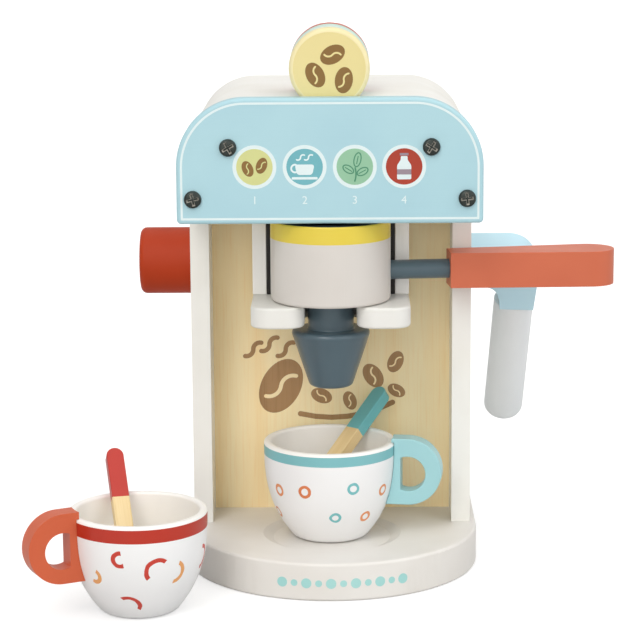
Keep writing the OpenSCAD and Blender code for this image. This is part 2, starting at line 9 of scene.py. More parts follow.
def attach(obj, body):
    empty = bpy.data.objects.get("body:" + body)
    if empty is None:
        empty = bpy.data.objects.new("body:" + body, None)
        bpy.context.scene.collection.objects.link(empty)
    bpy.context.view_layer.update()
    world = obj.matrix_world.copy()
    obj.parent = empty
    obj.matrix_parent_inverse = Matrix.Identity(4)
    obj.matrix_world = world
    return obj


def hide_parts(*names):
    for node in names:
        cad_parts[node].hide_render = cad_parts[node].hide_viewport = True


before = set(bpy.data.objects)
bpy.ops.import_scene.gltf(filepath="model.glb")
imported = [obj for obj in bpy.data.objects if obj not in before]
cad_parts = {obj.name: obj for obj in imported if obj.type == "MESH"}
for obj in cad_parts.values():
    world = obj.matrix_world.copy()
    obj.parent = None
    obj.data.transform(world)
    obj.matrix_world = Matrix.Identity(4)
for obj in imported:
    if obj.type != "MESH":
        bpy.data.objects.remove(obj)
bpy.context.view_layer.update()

# ---- Camera ----
# A long lens in front of the toy, a little to its right, looking down on it by eleven degrees.
# Lengths in this file are in millimetres and go through MM on their way into Blender.

MM = 0.001
CAMERA_PLACE = (5.50, -1085.07, 330.29)
CAMERA_YAW, CAMERA_PITCH, CAMERA_ROLL = -0.569, 11.056, -0.360
SENSOR_W, LENS = 36, 129.75

camera_data = bpy.data.cameras.new("camera")
camera_data.sensor_fit = "HORIZONTAL"
camera_data.sensor_width = SENSOR_W
camera_data.lens = LENS
camera_data.clip_start = 0.05
camera_data.clip_end = 50
camera = bpy.data.objects.new("camera", camera_data)
bpy.context.scene.collection.objects.link(camera)
yaw, pitch, roll = (math.radians(turn) for turn in (CAMERA_YAW, CAMERA_PITCH, CAMERA_ROLL))
ahead = Vector((
    math.sin(yaw) * math.cos(pitch), math.cos(yaw) * math.cos(pitch), -math.sin(pitch),
))
level = Vector((math.cos(yaw), -math.sin(yaw), 0))
upward = level.cross(ahead)
aside = level * math.cos(roll) + upward * math.sin(roll)
above = upward * math.cos(roll) - level * math.sin(roll)
looking = Matrix((aside, above, -ahead)).transposed().to_4x4()
camera.matrix_world = Matrix.Translation(Vector(CAMERA_PLACE) * MM) @ looking
bpy.context.scene.camera = camera

# ---- Studio ----
# A wide white table and wall, measured in metres, under four broad even lights: one low beside the
# camera, the key from its upper left, a weak one from its right and one above. The sky fills the
# shadows and shines a little brighter in gloss.

FLOOR_HALF = 12.0
WALL_Y, WALL_HALF = 4.0, 2.5
FLOOR_GLOW, WALL_GLOW = 0.5, 1.0
SKY_FILL, SKY_SHINE = 0.45, 0.65


def linear(code):
    """Linear colour of a paint that is given by its #rrggbb chart code."""
    parts = [int(code[i:i + 2], 16) / 255 for i in (1, 3, 5)]
    return tuple(p / 12.92 if p <= 0.04045 else ((p + 0.055) / 1.055) ** 2.4 for p in parts) + (1,)


def feed(tree, inputs, sources):
    """Gives sockets their values, or links them to the outputs of other nodes."""
    for key, source in sources.items():
        if isinstance(source, bpy.types.NodeSocket):
            tree.links.new(source, inputs[key])
        else:
            inputs[key].default_value = source


def place(tree, kind, sources=None, **settings):
    """Adds a node, gives it its settings and feeds its sockets."""
    made = tree.nodes.new(kind)
    for name, value in settings.items():
        setattr(made, name, value)
    feed(tree, made.inputs, sources or {})
    return made


def compute(tree, operation, *values, **settings):
    """Result of a math node."""
    made = place(tree, "ShaderNodeMath", dict(enumerate(values)), operation=operation, **settings)
    return made.outputs[0]


def remap(tree, value, low, high, to_low, to_high):
    """A value taken from one range to another, and kept within it."""
    sources = {0: value, 1: low, 2: high, 3: to_low, 4: to_high}
    return place(tree, "ShaderNodeMapRange", sources).outputs[0]


world = bpy.data.worlds.new("studio_sky")
bpy.context.scene.world = world
world.use_nodes = True
sky = world.node_tree
glossy_ray = place(sky, "ShaderNodeLightPath").outputs["Is Glossy Ray"]
sky_strength = remap(sky, glossy_ray, 0, 1, SKY_FILL, SKY_SHINE)
feed(sky, sky.nodes["Background"].inputs, {"Color": linear("#fdfdff"), "Strength": sky_strength})

# Each light: degrees to the right of the camera, degrees up, softness in degrees, strength, colour
for name, turn, height, softness, strength, colour in (
    ("broad_light_front", -12, 13, 44, 0.72, "#fffbf3"),
    ("broad_light_key", -24, 44, 26, 0.84, "#fffdfa"),
    ("broad_light_right", 58, 26, 60, 0.78, "#fdfeff"),
    ("broad_light_above", 130, 74, 80, 1.1, "#fffefa"),
):
    light = bpy.data.lights.new(name, "SUN")
    light.angle = math.radians(softness)
    light.energy = strength
    light.color = linear(colour)[:3]
    lamp = bpy.data.objects.new(name, light)
    side, up = math.radians(turn), math.radians(height)
    source = Vector((math.sin(side) * math.cos(up), -math.cos(side) * math.cos(up), math.sin(up)))
    lamp.matrix_world = source.to_track_quat("Z", "Y").to_matrix().to_4x4()
    bpy.context.scene.collection.objects.link(lamp)


def backdrop(name, seat, glow):
    """Sheet of the studio, grey in the light and white to the camera, as if exposed for the toy."""
    shape = bmesh.new()
    bmesh.ops.create_grid(shape, x_segments=2, y_segments=2, size=1, matrix=seat)
    mesh = bpy.data.meshes.new(name)
    shape.to_mesh(mesh)
    shape.free()
    sheet = bpy.data.objects.new(name, mesh)
    bpy.context.scene.collection.objects.link(sheet)
    paint = bpy.data.materials.new(name)
    paint.use_nodes = True
    tree = paint.node_tree
    seen = place(tree, "ShaderNodeLightPath").outputs["Is Camera Ray"]
    feed(tree, tree.nodes["Principled BSDF"].inputs, {
        "Base Color": linear("#cdcdcd"), "Roughness": 0.9, "Specular IOR Level": 0.1,
        "Emission Color": (1, 1, 1, 1), "Emission Strength": compute(tree, "MULTIPLY", seen, glow),
    })
    mesh.materials.append(paint)


backdrop("studio_floor", Matrix.Diagonal((FLOOR_HALF, FLOOR_HALF, 1, 1)), FLOOR_GLOW)
wall_seat = Matrix.Translation((0, WALL_Y, WALL_HALF)) @ Matrix.Rotation(math.pi / 2, 4, "X")
backdrop("studio_wall", wall_seat @ Matrix.Diagonal((FLOOR_HALF, WALL_HALF, 1, 1)), WALL_GLOW)

# ---- Base ----
# Thick plywood plate with a round front, milled with a shallow dish for the cup and sprayed white.
# The easing of its edges is in the wood, so the paint runs over them without a seam. A row of teal
# dots is printed round its front edge.

BASE_FRONT_R = 70
DOT_ROW_Z, DOT_COUNT = 8.6, 11
ROW_MIDDLE_TURN, DOT_TURN = 4.5, 4.7
LARGE_DOT_R, SMALL_DOT_R = 2.4, 1.6
DOT_LIFT, DOT_THICK = 0.05, 0.1
COLOUR, NUMBER, VECTOR = "NodeSocketColor", "NodeSocketFloat", "NodeSocketVector"


def shader_group(name, inputs, outputs):
    """Empty shader node group with named sockets, and its input and output sockets."""
    group = bpy.data.node_groups.new(name, "ShaderNodeTree")
    for direction, sockets in (("INPUT", inputs), ("OUTPUT", outputs)):
        for label, kind in sockets:
            group.interface.new_socket(label, in_out=direction, socket_type=kind)
    told = group.nodes.new("NodeGroupInput").outputs
    return group, told, group.nodes.new("NodeGroupOutput").inputs


def noise(tree, vector, scale, detail, distortion=0):
    """Noise of one scale, or of three, which draw it out along the axis with the smallest."""
    if isinstance(scale, tuple):
        vector = place(tree, "ShaderNodeMapping", {"Vector": vector, "Scale": scale}).outputs[0]
        scale = 1
    sources = {"Vector": vector, "Scale": scale, "Detail": detail, "Distortion": distortion}
    return place(tree, "ShaderNodeTexNoise", sources).outputs[0]


def blend(tree, mask, first, second):
    """Mix of two colours by a mask."""
    sources = {0: mask, 6: first, 7: second}
    return place(tree, "ShaderNodeMix", sources, data_type="RGBA").outputs[2]


# Sprayed paint on wood: slow drifts of tone, the grain that shows through the film, and orange peel
spray, told, out = shader_group(
    "sprayed_paint",
    [
        ("Vector", VECTOR), ("Colour", COLOUR), ("Shade", COLOUR), ("Rough", NUMBER),
        ("Grain", NUMBER),
    ],
    [("Colour", COLOUR), ("Roughness", NUMBER), ("Height", NUMBER)],
)
drift = noise(spray, told["Vector"], 26, 3)
grain_lines = noise(spray, told["Vector"], (760, 760, 22), 2)
peel = noise(spray, told["Vector"], 1500, 1)
grain_height = compute(spray, "MULTIPLY", grain_lines, told["Grain"])
feed(spray, out, {
    "Colour": blend(spray, remap(spray, drift, 0.38, 0.72, 0, 0.55), told["Colour"], told["Shade"]),
    "Roughness": compute(spray, "ADD", told["Rough"], remap(spray, drift, 0.3, 0.7, -0.05, 0.07)),
    "Height": compute(spray, "MULTIPLY_ADD", peel, 0.25, grain_height),
})

GRAIN_TURNS = {"X": (0, math.pi / 2, 0), "Y": (math.pi / 2, 0, 0), "Z": (0, 0, 0)}
RELIEF_DEPTH, PAINT_RELIEF, WOOD_RELIEF = 0.0005, 0.12, 0.15
SHINE, COAT_ROUGH = 0.42, 0.16


def finish(name, group, sources, turn, relief, coat=0.0, shine=SHINE):
    """Material whose colour, roughness and relief come from a group, with its grain turned."""
    made = bpy.data.materials.new(name)
    made.use_nodes = True
    tree = made.node_tree
    shader = tree.nodes["Principled BSDF"].inputs
    spot = place(tree, "ShaderNodeTexCoord").outputs["Object"]
    way = place(tree, "ShaderNodeMapping", {"Vector": spot, "Rotation": turn}).outputs[0]
    effect = place(tree, "ShaderNodeGroup", {"Vector": way} | sources, node_tree=group).outputs
    bump = place(
        tree, "ShaderNodeBump",
        {"Strength": relief, "Distance": RELIEF_DEPTH, "Height": effect["Height"]},
    )
    feed(tree, shader, {
        "Base Color": effect["Colour"], "Roughness": effect["Roughness"], "Normal": bump.outputs[0],
        "Specular IOR Level": shine,
    })
    if coat:
        feed(tree, shader, {"Coat Weight": coat, "Coat Roughness": COAT_ROUGH})
    return made


def painted(name, colour, shade, rough=0.42, grain=0.6, along="Z", coat=0.0, shine=SHINE):
    """Sprayed paint of one colour, which drifts towards a second one."""
    sources = {"Colour": linear(colour), "Shade": linear(shade), "Rough": rough, "Grain": grain}
    return finish(name, spray, sources, GRAIN_TURNS[along], PAINT_RELIEF, coat, shine)


def inked(name, colour, shade):
    """Printing ink, duller than the spray and with less grain."""
    return painted(name, colour, shade, rough=0.5, grain=0.2)


def piece(name, shape, body, materials, sharp=40):
    """Object from a finished shape in metres, smooth but for its sharp edges, on its body."""
    mesh = bpy.data.meshes.new(name)
    shape.to_mesh(mesh)
    shape.free()
    if "custom_normal" in mesh.attributes:
        mesh.attributes.remove(mesh.attributes["custom_normal"])
    mesh.polygons.foreach_set("use_smooth", [True] * len(mesh.polygons))
    mesh.set_sharp_from_angle(angle=math.radians(sharp))
    for material in materials:
        mesh.materials.append(material)
    made = bpy.data.objects.new(name, mesh)
    bpy.context.scene.collection.objects.link(made)
    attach(made, body)
    return made


WELD_GAP, FLAT_TURN = 2e-6, 0.8


def eased(node, body, materials, ease, sharp=40, part=None):
    """The solid of a CAD node with the edges sanded round that are sharper than an angle."""
    shape = bmesh.new()
    shape.from_mesh(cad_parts[node].data)
    bmesh.ops.remove_doubles(shape, verts=shape.verts, dist=WELD_GAP)
    bmesh.ops.dissolve_limit(
        shape, angle_limit=math.radians(FLAT_TURN), use_dissolve_boundaries=False,
        verts=shape.verts, edges=shape.edges, delimit={"NORMAL"},
    )
    for face in shape.faces:
        face.material_index = 0
    if part:
        part(shape)
    made = piece(node + "_sanded", shape, body, materials, sharp)
    rounding = made.modifiers.new("sanded_edges", "BEVEL")
    rounding.width = ease * MM
    rounding.segments = 3
    rounding.limit_method = "ANGLE"
    rounding.angle_limit = math.radians(sharp)
    rounding.harden_normals = True
    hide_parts(node)


def shifted(x, y, z):
    """Move by millimetres."""
    return Matrix.Translation(Vector((x, y, z)) * MM)


def turned(degrees, axis):
    """Turn by degrees about an axis."""
    return Matrix.Rotation(math.radians(degrees), 4, axis)


def new_verts(result):
    """Vertices among what an extrusion has made."""
    return [v for v in result["geom"] if isinstance(v, bmesh.types.BMVert)]


base_white = painted("base_white_paint", "#e6e3de", "#dcd7cf", along="X")
eased("base", "machine", [base_white], 0.5, sharp=15)

teal_ink = inked("teal_ink", "#9fd3d0", "#b2dcd7")
dots = bmesh.new()
for step in range(DOT_COUNT):
    radius = SMALL_DOT_R if step % 2 else LARGE_DOT_R
    dot = bmesh.ops.create_circle(dots, cap_ends=True, segments=24, radius=radius * MM)["verts"]
    turn = turned(ROW_MIDDLE_TURN + (step - (DOT_COUNT - 1) / 2) * DOT_TURN, "Z")
    stand = shifted(0, -(BASE_FRONT_R + DOT_LIFT), DOT_ROW_Z) @ turned(90, "X")
    bmesh.ops.transform(dots, matrix=turn @ stand, verts=dot)
    faces = [f for f in dots.faces if all(v in dot for v in f.verts)]
    back = new_verts(bmesh.ops.extrude_face_region(dots, geom=faces))
    bmesh.ops.translate(dots, vec=turn @ Vector((0, DOT_THICK * MM, 0)), verts=back)
bmesh.ops.recalc_face_normals(dots, faces=dots.faces)
piece("base_dot_row", dots, "machine", [teal_ink])

# ---- Housing ----
# Side panels, rear panel, bent top cover and head floor: plywood, glued and screwed, sprayed white.
# The grain of the sides and the rear runs up, that of the cover from front to back, along its
# bends, and that of the floor across.

side_white = painted("white_paint_along_z", "#f1f0eb", "#e7e4db")
cover_white = painted("white_paint_along_y", "#f1f0eb", "#e7e4db", along="Y")
floor_white = painted("white_paint_along_x", "#f1f0eb", "#e7e3da", along="X")
for node, white in (
    ("left_side_panel", side_white), ("right_side_panel", side_white), ("rear_panel", side_white),
    ("top_cover", cover_white), ("head_floor", floor_white),
):
    eased(node, "machine", [white], 0.6)

# ---- Splash back ----
# Sheet of pale veneered plywood between the sides, lacquered but not painted, its grain upright.
# A large coffee bean under steam, a scatter of smaller beans and a long bent line are printed on
# it in thin brown ink.

SPLASH_FACE_Y = 26.5
INK_FILM, INK_STEP = 0.04, 0.05
BEAN_SHAPE = 0.67

# Bare wood: broad tone bands, fine pores along the grain and a faint relief
timber, told, out = shader_group(
    "bare_timber",
    [
        ("Vector", VECTOR), ("Light", COLOUR), ("Dark", COLOUR), ("Rough", NUMBER),
        ("Figure", NUMBER),
    ],
    [("Colour", COLOUR), ("Roughness", NUMBER), ("Height", NUMBER)],
)
bands = noise(timber, told["Vector"], (70, 70, 3.5), 4, 0.6)
pores = noise(timber, told["Vector"], (1100, 1100, 38), 2)
band_mask = remap(timber, bands, 0.32, 0.7, 0, 0.8)
pore_mask = remap(timber, pores, 0.52, 0.75, 0, 0.5)
either = compute(timber, "ADD", band_mask, pore_mask)
figured = compute(timber, "MULTIPLY", either, told["Figure"], use_clamp=True)
feed(timber, out, {
    "Colour": blend(timber, figured, told["Light"], told["Dark"]),
    "Roughness": compute(timber, "ADD", told["Rough"], remap(timber, pores, 0.3, 0.8, -0.04, 0.12)),
    "Height": pores,
})


def wooden(name, light, dark, figure=0.8, turn=GRAIN_TURNS["Z"]):
    """Bare or thinly inked wood between two tones."""
    sources = {"Light": linear(light), "Dark": linear(dark), "Rough": 0.5, "Figure": figure}
    return finish(name, timber, sources, turn, WOOD_RELIEF)


veneer = wooden("veneer", "#ffefc4", "#f8d69a", figure=0.7)
brown_ink = wooden("brown_ink_on_veneer", "#b08a60", "#947049")
eased("splash_back", "machine", [veneer], 0.4)


def onto_front(y):
    """Seat of a print, drawn flat with X to the right and Y up, on an upright face at a depth."""
    return shifted(0, y, 0) @ turned(90, "X")


def coat_of_ink(art, faces, layer, ink):
    """Gives flat faces their ink and its thickness; higher layers lie on top of lower ones."""
    for face in faces:
        face.material_index = ink
    top = new_verts(bmesh.ops.extrude_face_region(art, geom=faces))
    bmesh.ops.translate(art, vec=(0, 0, (INK_FILM + INK_STEP * layer) * MM), verts=top)
    for face in {f for v in top for f in v.link_faces}:
        face.material_index = ink


def oval(art, x, y, half_w, half_h, turn, layer, ink):
    """Printed oval: centre, half sizes and turn in degrees."""
    before = set(art.faces)
    verts = bmesh.ops.create_circle(art, cap_ends=True, segments=40, radius=1)["verts"]
    seat = shifted(x, y, 0) @ turned(turn, "Z") @ Matrix.Diagonal((half_w * MM, half_h * MM, 1, 1))
    bmesh.ops.transform(art, matrix=seat, verts=verts)
    coat_of_ink(art, list(set(art.faces) - before), layer, ink)


def stroke(art, x, y, radius, start, sweep, width, layer, ink, ends=(0, 1)):
    """Printed arc about a centre, from a start angle over a sweep in degrees, with round ends."""
    before = set(art.faces)
    heading = Vector((math.cos(math.radians(start)), math.sin(math.radians(start)), 0))
    hub = Vector((x * MM, y * MM, 0))
    tip_verts = [art.verts.new(hub + heading * (radius + s * width / 2) * MM) for s in (-1, 1)]
    tip = art.edges.new(tip_verts)
    bmesh.ops.spin(
        art, geom=tip_verts + [tip], cent=hub, axis=(0, 0, 1), angle=math.radians(sweep),
        steps=max(6, round(abs(sweep) / 7)),
    )
    coat_of_ink(art, list(set(art.faces) - before), layer, ink)
    for end in ends:
        angle = math.radians(start + sweep * end)
        end_x, end_y = x + radius * math.cos(angle), y + radius * math.sin(angle)
        oval(art, end_x, end_y, width / 2, width / 2, 0, layer + 0.5, ink)


def wave(art, x, y, radius, sweep, width, layer, ink, lean=0):
    """Printed wisp of two arcs that turn opposite ways, from its middle point."""
    for side in (0, 180):
        heading = math.radians(lean + side)
        hub_x, hub_y = x + radius * math.cos(heading), y + radius * math.sin(heading)
        stroke(art, hub_x, hub_y, radius, lean + 180 - side, -sweep, width, layer, ink, (1,))


def rounded(shape, geom, radius, segments, affect="VERTICES"):
    """Rounds corners or edges of a shape."""
    bmesh.ops.bevel(
        shape, geom=geom, offset=radius * MM, segments=segments, profile=0.5, affect=affect,
        material=-1,
    )


def plate(art, x, y, size, corners, ease, layer, ink):
    """Printed patch with straight sides and eased corners, which are given about its centre."""
    before = set(art.faces)
    verts = [art.verts.new(((x + a * size) * MM, (y + b * size) * MM, 0)) for a, b in corners]
    art.faces.new(verts)
    if ease:
        rounded(art, verts, ease, 5)
    coat_of_ink(art, list(set(art.faces) - before), layer, ink)


def bean(art, x, y, half_w, half_h, turn, layer, ink, slit):
    """Printed coffee bean: an oval with a bent slit along it."""
    oval(art, x, y, half_w, half_h, turn, layer, ink)
    wave(
        art, x, y, radius=half_h * 0.42, sweep=96, width=half_w * 0.2, layer=layer + 1, ink=slit,
        lean=turn + 20,
    )


def printed(name, art, y, body, inks):
    """Print put on the front of its piece and made an object on its body."""
    bmesh.ops.recalc_face_normals(art, faces=art.faces)
    bmesh.ops.transform(art, matrix=onto_front(y), verts=art.verts)
    piece(name, art, body, inks)


motif = bmesh.new()
for x, y, size, turn in (
    (-25, 80, 14.5, -28), (20.5, 85, 6.6, 34), (31.5, 92, 5.6, -24), (32, 77.5, 4.6, 62),
    (-5, 75, 5.4, 68), (9, 72.5, 4.8, 20),
):
    bean(motif, x, y, size * BEAN_SHAPE, size, turn, 0, 0, 1)
for x, y in ((-38.5, 98.5), (-30.5, 101), (-22.5, 98.5)):
    wave(motif, x, y, radius=3.4, sweep=100, width=2.2, layer=0, ink=0)
stroke(motif, 0, 128, radius=64, start=256, sweep=42, width=2.6, layer=0, ink=0)
printed("splash_back_print", motif, SPLASH_FACE_Y, "machine", [brown_ink, veneer])

# ---- Fascia ----
# Blue front board of the head with an arched top, screwed on with four screws.
# A thin white line is printed along its edge, and four round badges over their numbers.

FASCIA_W, FASCIA_H, FASCIA_T = 140, 57.5, 9
FASCIA_R, FASCIA_FOOT_R, LEAST_FOOT_R = 31.5, 2, 0.3
FASCIA_FRONT_Y, FASCIA_FOOT_Z = -44, 171.5
FASCIA_EASE = 1.5
LINE_OUT, LINE_IN = 1.9, 2.9
BADGE_XS = (-34.2, -11.4, 11.4, 33.8)
BADGE_Z, BADGE_R, BADGE_IN_R = 197.7, 10, 8.3
NUMBER_Z, NUMBER_SIZE, NUMBER_THICK = 182.3, 5.2, 0.06

blue_paint = painted("blue_paint", "#aed4dd", "#a5ccd8", along="X", coat=0.1)
white_ink = inked("white_ink", "#e0eeef", "#d9e9ea")


def arch_face(shape, inset):
    """Face with an arched top and eased feet, drawn flat, smaller by an inset on every side."""
    half = FASCIA_W / 2 - inset
    low, high = FASCIA_FOOT_Z + inset, FASCIA_FOOT_Z + FASCIA_H - inset
    feet = [shape.verts.new((x * MM, low * MM, 0)) for x in (-half, half)]
    crown = [shape.verts.new((x * MM, high * MM, 0)) for x in (half, -half)]
    shape.faces.new(feet + crown)
    rounded(shape, crown, FASCIA_R - inset, 24)
    rounded(shape, [v for v in feet if v.is_valid], max(FASCIA_FOOT_R - inset, LEAST_FOOT_R), 4)


def solid(name, shape, seat, body, materials, node):
    """Solid put in its seat in place of a CAD node, with flat faces that stay flat in the light."""
    bmesh.ops.transform(shape, matrix=seat, verts=shape.verts)
    made = piece(name, shape, body, materials)
    made.modifiers.new("flat_faces", "WEIGHTED_NORMAL").keep_sharp = True
    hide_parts(node)


board = bmesh.new()
arch_face(board, 0)
front_verts = new_verts(bmesh.ops.extrude_face_region(board, geom=list(board.faces)))
bmesh.ops.translate(board, vec=(0, 0, FASCIA_T * MM), verts=front_verts)
rim = [e for e in board.edges if len({round(v.co.z / MM, 3) for v in e.verts}) == 1]
bmesh.ops.recalc_face_normals(board, faces=board.faces)
rounded(board, rim, FASCIA_EASE, 4, "EDGES")
board_seat = onto_front(FASCIA_FRONT_Y + FASCIA_T)
solid("fascia_board", board, board_seat, "machine", [blue_paint], "fascia")

line = bmesh.new()
arch_face(line, LINE_OUT)
arch_face(line, LINE_IN)
bmesh.ops.delete(line, geom=list(line.faces), context="FACES_ONLY")
bmesh.ops.bridge_loops(line, edges=line.edges)
coat_of_ink(line, list(line.faces), 0, 0)
printed("fascia_line", line, FASCIA_FRONT_Y, "machine", [white_ink])

bean_ink = inked("bean_ink", "#8d6a37", "#7b5a29")
lime_ink = inked("lime_ink", "#d3d592", "#cbce86")
sea_ink = inked("sea_ink", "#6fb3bd", "#66aab6")
leaf_ink = inked("leaf_ink", "#95c3a2", "#8cbb9a")
vein_ink = inked("vein_ink", "#4d8f70", "#468668")
rust_ink = inked("rust_ink", "#ad3b26", "#a03420")
mauve_ink = inked("mauve_ink", "#9b8a94", "#8f7f8a")


def two_beans(art, x, y, size, layer, ink, slit):
    """Two coffee beans that lean on each other."""
    for dx, dy, turn in ((-2.4, -0.6, 24), (2.5, 0.5, -20)):
        bean(art, x + dx * size, y + dy * size, 1.9 * size, 2.9 * size, turn, layer, ink, slit)


def small_cup(art, x, y, size, layer, ink):
    """Cup on a saucer, seen from the side, with two wisps of steam."""
    bowl = ((-2.5, -2.6), (2.5, -2.6), (3.2, 0.8), (-3.2, 0.8))
    saucer = ((-4.2, -4.1), (4.2, -4.1), (4.2, -3.3), (-4.2, -3.3))
    plate(art, x, y, size, bowl, 0.9 * size, layer, ink)
    stroke(
        art, x - 3.1 * size, y - 0.5 * size, radius=1.25 * size, start=80, sweep=200,
        width=0.6 * size, layer=layer, ink=ink,
    )
    plate(art, x, y, size, saucer, 0.3 * size, layer, ink)
    for dx in (-1.3, 1.3):
        wave(art, x + dx * size, y + 3.1 * size, 0.85 * size, 120, 0.5 * size, layer, ink)


def sprig(art, x, y, size, layer, vein, blade):
    """Three leaves on one stalk."""
    stroke(
        art, x - 7 * size, y - 2 * size, radius=7.4 * size, start=-19, sweep=35, width=0.5 * size,
        layer=layer + 1, ink=vein,
    )
    for dx, dy, length, turn in (
        (0.9, 2.8, 2.6, -12), (-2.2, -0.4, 2.2, 58), (2.6, -1.2, 2.2, -62),
    ):
        at = (x + dx * size, y + dy * size)
        oval(art, *at, 1.35 * size, length * size, turn, layer, vein)
        oval(art, *at, 0.95 * size, (length - 0.45) * size, turn, layer + 1, blade)
        way = math.radians(turn + 90)
        far_x, far_y = math.cos(way), math.sin(way)
        rib = ((-0.16, 1.3), (0.16, 1.3), (0.16, -1.5), (-0.16, -1.5))
        corners = [(a * far_y + b * far_x, b * far_y - a * far_x) for a, b in rib]
        plate(art, *at, size, corners, 0, layer + 2, vein)


def milk_bottle(art, x, y, size, layer, ink, band):
    """Milk bottle with a cap and a band round its belly."""
    half = ((2.3, -4.2), (2.3, 0.4), (1.1, 2.2), (1.1, 3.4))
    outline = list(half) + [(-a, b) for a, b in reversed(half)]
    plate(art, x, y, size, outline, 0.4 * size, layer, ink)
    for low, high, reach in ((-2.6, -0.9, 2.3), (3.6, 4.4, 1.4)):
        strip = ((-reach, low), (reach, low), (reach, high), (-reach, high))
        plate(art, x, y, size, strip, 0, layer + 1, band)


badges = bmesh.new()
for fill, badge_x in enumerate(BADGE_XS, 1):
    oval(badges, badge_x, BADGE_Z, BADGE_R, BADGE_R, 0, 0, 0)
    oval(badges, badge_x, BADGE_Z, BADGE_IN_R, BADGE_IN_R, 0, 1, fill)
two_beans(badges, BADGE_XS[0], BADGE_Z, 1.3, 2, 5, 1)
small_cup(badges, BADGE_XS[1], BADGE_Z, 1.4, 2, 0)
sprig(badges, BADGE_XS[2], BADGE_Z - 0.6, 1.35, 2, 6, 3)
milk_bottle(badges, BADGE_XS[3], BADGE_Z, 1.4, 2, 0, 7)
badge_inks = [white_ink, lime_ink, sea_ink, leaf_ink, rust_ink, bean_ink, vein_ink, mauve_ink]
printed("fascia_badges", badges, FASCIA_FRONT_Y, "machine", badge_inks)

for number, badge_x in enumerate(BADGE_XS, 1):
    figure = bpy.data.curves.new(f"number_{number}", "FONT")
    figure.body = str(number)
    figure.size = NUMBER_SIZE * MM
    figure.align_x = "CENTER"
    figure.align_y = "CENTER"
    figure.extrude = NUMBER_THICK * MM
    figure.resolution_u = 6
    lettering = bpy.data.objects.new(f"number_{number}", figure)
    bpy.context.scene.collection.objects.link(lettering)
    shape = bmesh.new()
    shape.from_mesh(lettering.evaluated_get(bpy.context.evaluated_depsgraph_get()).to_mesh())
    bpy.data.objects.remove(lettering)
    bmesh.ops.translate(shape, vec=(badge_x * MM, NUMBER_Z * MM, 0), verts=shape.verts)
    bmesh.ops.remove_doubles(shape, verts=shape.verts, dist=1e-7)
    bmesh.ops.transform(shape, matrix=onto_front(FASCIA_FRONT_Y), verts=shape.verts)
    piece(f"fascia_number_{number}", shape, "machine", [white_ink])

# ---- Screws ----
# Blackened steel screws with domed heads and a cross recess whose walls are pale worn steel with
# painted glints: four in the fascia, eight in the rear panel and six sunk into the underside. Each
# was stopped at its own turn.

HEAD_R, HEAD_H, HEAD_DOME = 4, 2.2, 0.4
RECESS_HALF, RECESS_DEPTH, RECESS_CELLS, RECESS_ARM = 2.9, 1.1, 8, 1.2
PIT_LONG, PIT_ACROSS, PIT_RATIO = 0.8, 0.5, 1.2
REAR_FACE_Y, UNDER_SCREW_Z = 84, 3
HEAD_SCREWS = [(s * x, z) for s in (-1, 1) for x, z in ((46.2, 206.6), (62.5, 183))]
LOW_SCREWS = [(s * 62.5, z) for s in (-1, 1) for z in (34, 108.5)]
UNDER_SCREWS = [(s * x, y) for s in (-1, 1) for x, y in ((62.5, 16), (62.5, 63), (29, 29.5))]
screw_turns = random.Random(7)


def steel(name, dark, light, rough_low, rough_high, metallic=0.85):
    """Steel whose tone and roughness drift with the smears of its finish."""
    made = bpy.data.materials.new(name)
    made.use_nodes = True
    tree = made.node_tree
    smear = noise(tree, place(tree, "ShaderNodeTexCoord").outputs["Object"], 420, 3)
    feed(tree, tree.nodes["Principled BSDF"].inputs, {
        "Base Color": blend(tree, smear, linear(dark), linear(light)),
        "Roughness": remap(tree, smear, 0.3, 0.7, rough_low, rough_high),
        "Metallic": metallic,
    })
    return made


black_steel = steel("blackened_steel", "#262a29", "#4c524f", 0.32, 0.52)
# Pale, dull steel for the recess walls: real wear plus painted glints that stand for bright
# reflections in the cross.
worn_glint_steel = steel("worn_glint_steel", "#77736b", "#f4efe4", 0.22, 0.36, 0.3)


